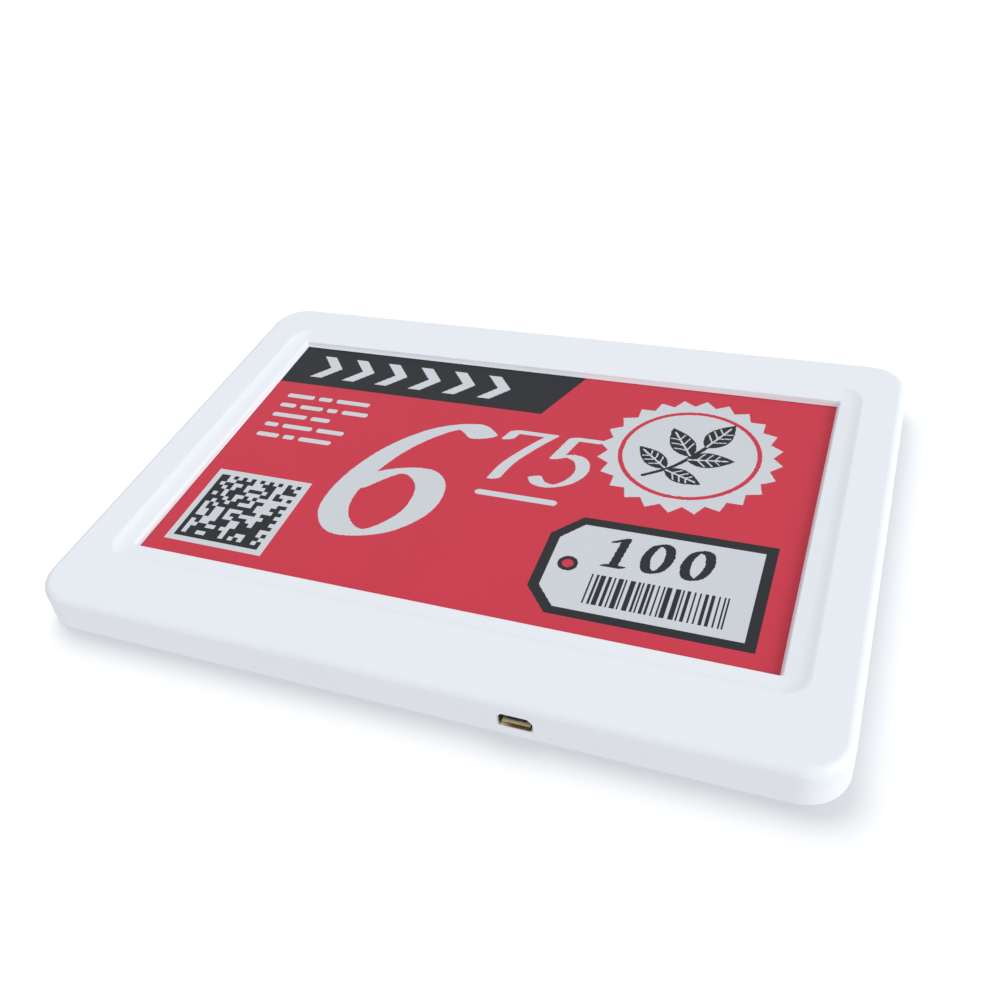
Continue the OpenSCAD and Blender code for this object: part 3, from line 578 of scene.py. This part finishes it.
amber = finish_material("amber_polyimide", (0.50, 0.19, 0.025), rough=0.30, spec=0.5, vary=0.12, patch=220.0,
                        grain=5000.0, grain_height=2e-6, stretch=(6, 1, 1), coat=0.3)
dark = finish_material("dark_nylon", (0.035, 0.036, 0.04), rough=0.55, spec=0.4, vary=0.15, patch=120.0, grain=4500.0,
                       grain_height=5e-6)
black_sheet = finish_material("black_film", (0.018, 0.018, 0.02), rough=0.38, spec=0.45, vary=0.2, patch=80.0,
                              grain=4000.0, grain_height=3e-6)
cream = finish_material("cream_nylon", (0.78, 0.73, 0.62), rough=0.45, spec=0.45, vary=0.04, patch=200.0, grain=5000.0,
                        grain_height=3e-6)
ferrite = finish_material("ferrite", (0.045, 0.045, 0.05), rough=0.7, spec=0.35, vary=0.3, patch=900.0, grain=5000.0,
                          grain_height=1.5e-5)
epoxy = finish_material("black_epoxy", (0.022, 0.022, 0.024), rough=0.5, spec=0.4, vary=0.25, patch=500.0, grain=7000.0,
                        grain_height=4e-6)
ceramic = finish_material("tan_ceramic", (0.42, 0.29, 0.17), rough=0.4, spec=0.5, vary=0.12, patch=900.0, grain=6000.0,
                          grain_height=2e-6)
red_plastic = finish_material("red_plunger", (0.50, 0.03, 0.03), rough=0.4, vary=0.06, patch=300.0, grain=5000.0,
                              grain_height=3e-6)
grey_plastic = finish_material("grey_button", (0.30, 0.31, 0.32), rough=0.45, vary=0.05, patch=200.0, grain=5000.0,
                               grain_height=3e-6)
foil = finish_material("pouch_foil", (0.60, 0.61, 0.63), rough=0.36, metal=0.85, vary=0.06, patch=90.0, grain=700.0,
                       grain_height=2e-5, rough_vary=0.1)
amber_tape = finish_material("amber_tape", (0.58, 0.27, 0.04), rough=0.25, spec=0.5, vary=0.1, patch=160.0, grain=2500.0,
                             grain_height=3e-6, coat=0.4)
white_tape = finish_material("white_tape", (0.74, 0.74, 0.72), rough=0.7, vary=0.05, patch=200.0, grain=3000.0,
                             grain_height=8e-6)
red_lead = finish_material("red_lead", (0.55, 0.02, 0.02), rough=0.35, vary=0.06, patch=400.0, grain=4000.0,
                           grain_height=2e-6)
black_lead = finish_material("black_lead", (0.015, 0.015, 0.017), rough=0.35, vary=0.2, patch=400.0, grain=4000.0,
                             grain_height=2e-6)
board = finish_material("solder_mask", (0.015, 0.12, 0.05), rough=0.3, spec=0.5, vary=0.18, patch=260.0, grain=2600.0,
                        grain_height=3e-6, coat=0.3, coat_rough=0.15)

for name, material in {
    "cover_screws": steel, "retainer_screws": steel, "pcb_screws": steel,
    "display_gasket": foam, "battery_pad": foam,
    "display_cover_film": pale_film, "epaper_film": pale_film, "display_glass": glass,
    "display_driver_ic": silicon, "display_flex": amber, "display_retainer": dark,
    "insulation_sheet": black_sheet, "main_pcb": board, "radio_board": board, "battery_board": board,
    "flex_socket_body": cream, "battery_plug": cream, "battery_socket": cream,
    "flex_socket_latch": dark, "flex_socket_contacts": gold, "radio_antenna": gold,
    "usb_shell": shell_gold, "usb_contacts": gold, "usb_insulator": epoxy, "radio_shield": tin, "switch_cover": tin,
    "chip_leads": tin, "clock_crystal": tin, "power_inductor": ferrite,
    "chip_packages": epoxy, "chip_resistors": epoxy, "power_diodes": epoxy, "switch_body": epoxy,
    "chip_capacitors": ceramic, "switch_plunger": red_plastic, "rear_button": grey_plastic,
    "battery_cell": foil, "battery_end_tape": amber_tape, "battery_adhesive": white_tape,
    "battery_lead_red": red_lead, "battery_lead_black": black_lead,
    "front_cover": white, "rear_cover": white,
}.items():
    dress(name, material)


# ---------------------------------------------------------------- floor and light

KEY = 1.54
BACK = 1.75
SKY = 0.80
TABLE = 0.90

bm = bmesh.new()
bmesh.ops.create_grid(bm, x_segments=8, y_segments=8, size=3.0)
floor_mesh = bpy.data.meshes.new("floor")
bm.to_mesh(floor_mesh)
bm.free()
floor = bpy.data.objects.new("floor", floor_mesh)
bpy.context.scene.collection.objects.link(floor)
m, nt, b, co = start_material("pale_floor")
nt.links.new(mix_colors(nt, noise(nt, co, 3.0, 2.0), (0.86, 0.865, 0.875), (0.88, 0.885, 0.89)), b.inputs["Base Color"])
b.inputs["Roughness"].default_value = 0.9
b.inputs["Specular IOR Level"].default_value = 0.1
# the table lights the case from below by the same amount everywhere, shadow or not
glow = nt.nodes.new("ShaderNodeEmission")
glow.inputs["Color"].default_value = (0.985, 0.99, 1.0, 1.0)
glow.inputs["Strength"].default_value = TABLE
seen = nt.nodes.new("ShaderNodeLightPath")
pick = nt.nodes.new("ShaderNodeMixShader")
nt.links.new(seen.outputs["Is Camera Ray"], pick.inputs[0])
nt.links.new(glow.outputs[0], pick.inputs[1])
nt.links.new(b.outputs[0], pick.inputs[2])
nt.links.new(pick.outputs[0], [n for n in nt.nodes if n.type == "OUTPUT_MATERIAL"][0].inputs["Surface"])
floor.data.materials.append(m)

world = bpy.data.worlds.new("studio")
bpy.context.scene.world = world
world.use_nodes = True
nt = world.node_tree
nt.nodes.clear()
out = nt.nodes.new("ShaderNodeOutputWorld")
bg = nt.nodes.new("ShaderNodeBackground")
bg.inputs["Color"].default_value = (0.965, 0.98, 1.0, 1.0)
bg.inputs["Strength"].default_value = SKY
seen = nt.nodes.new("ShaderNodeBackground")
seen.inputs["Color"].default_value = (1.0, 1.0, 1.0, 1.0)
seen.inputs["Strength"].default_value = 1.0
path = nt.nodes.new("ShaderNodeLightPath")
pick = nt.nodes.new("ShaderNodeMixShader")
nt.links.new(path.outputs["Is Camera Ray"], pick.inputs[0])
nt.links.new(bg.outputs[0], pick.inputs[1])
nt.links.new(seen.outputs[0], pick.inputs[2])
nt.links.new(pick.outputs[0], out.inputs["Surface"])


def sun(name, towards, strength, angle, color=(1, 1, 1)):
    d = bpy.data.lights.new(name, "SUN")
    d.energy = strength
    d.angle = math.radians(angle)
    d.color = color
    o = bpy.data.objects.new(name, d)
    bpy.context.scene.collection.objects.link(o)
    o.rotation_euler = Vector(towards).to_track_quat("Z", "Y").to_euler()
    return o


# The key light comes low from the right and shapes the case; the floor has a soft light of
# its own from behind, so that the shadow falls to the front and the right.
key = sun("key_light", (0.93, -0.06, 0.52), KEY, 34)
back = sun("floor_light", (-0.52, 0.58, 1.0), BACK, 48)
lit_case = bpy.data.collections.new("lit_by_key")
for o in bpy.context.scene.objects:
    if o.type == "MESH" and o is not floor:
        lit_case.objects.link(o)
key.light_linking.receiver_collection = lit_case
lit_floor = bpy.data.collections.new("lit_from_behind")
lit_floor.objects.link(floor)
back.light_linking.receiver_collection = lit_floor

bpy.context.scene.view_settings.view_transform = "Standard"
bpy.context.scene.view_settings.look = "None"
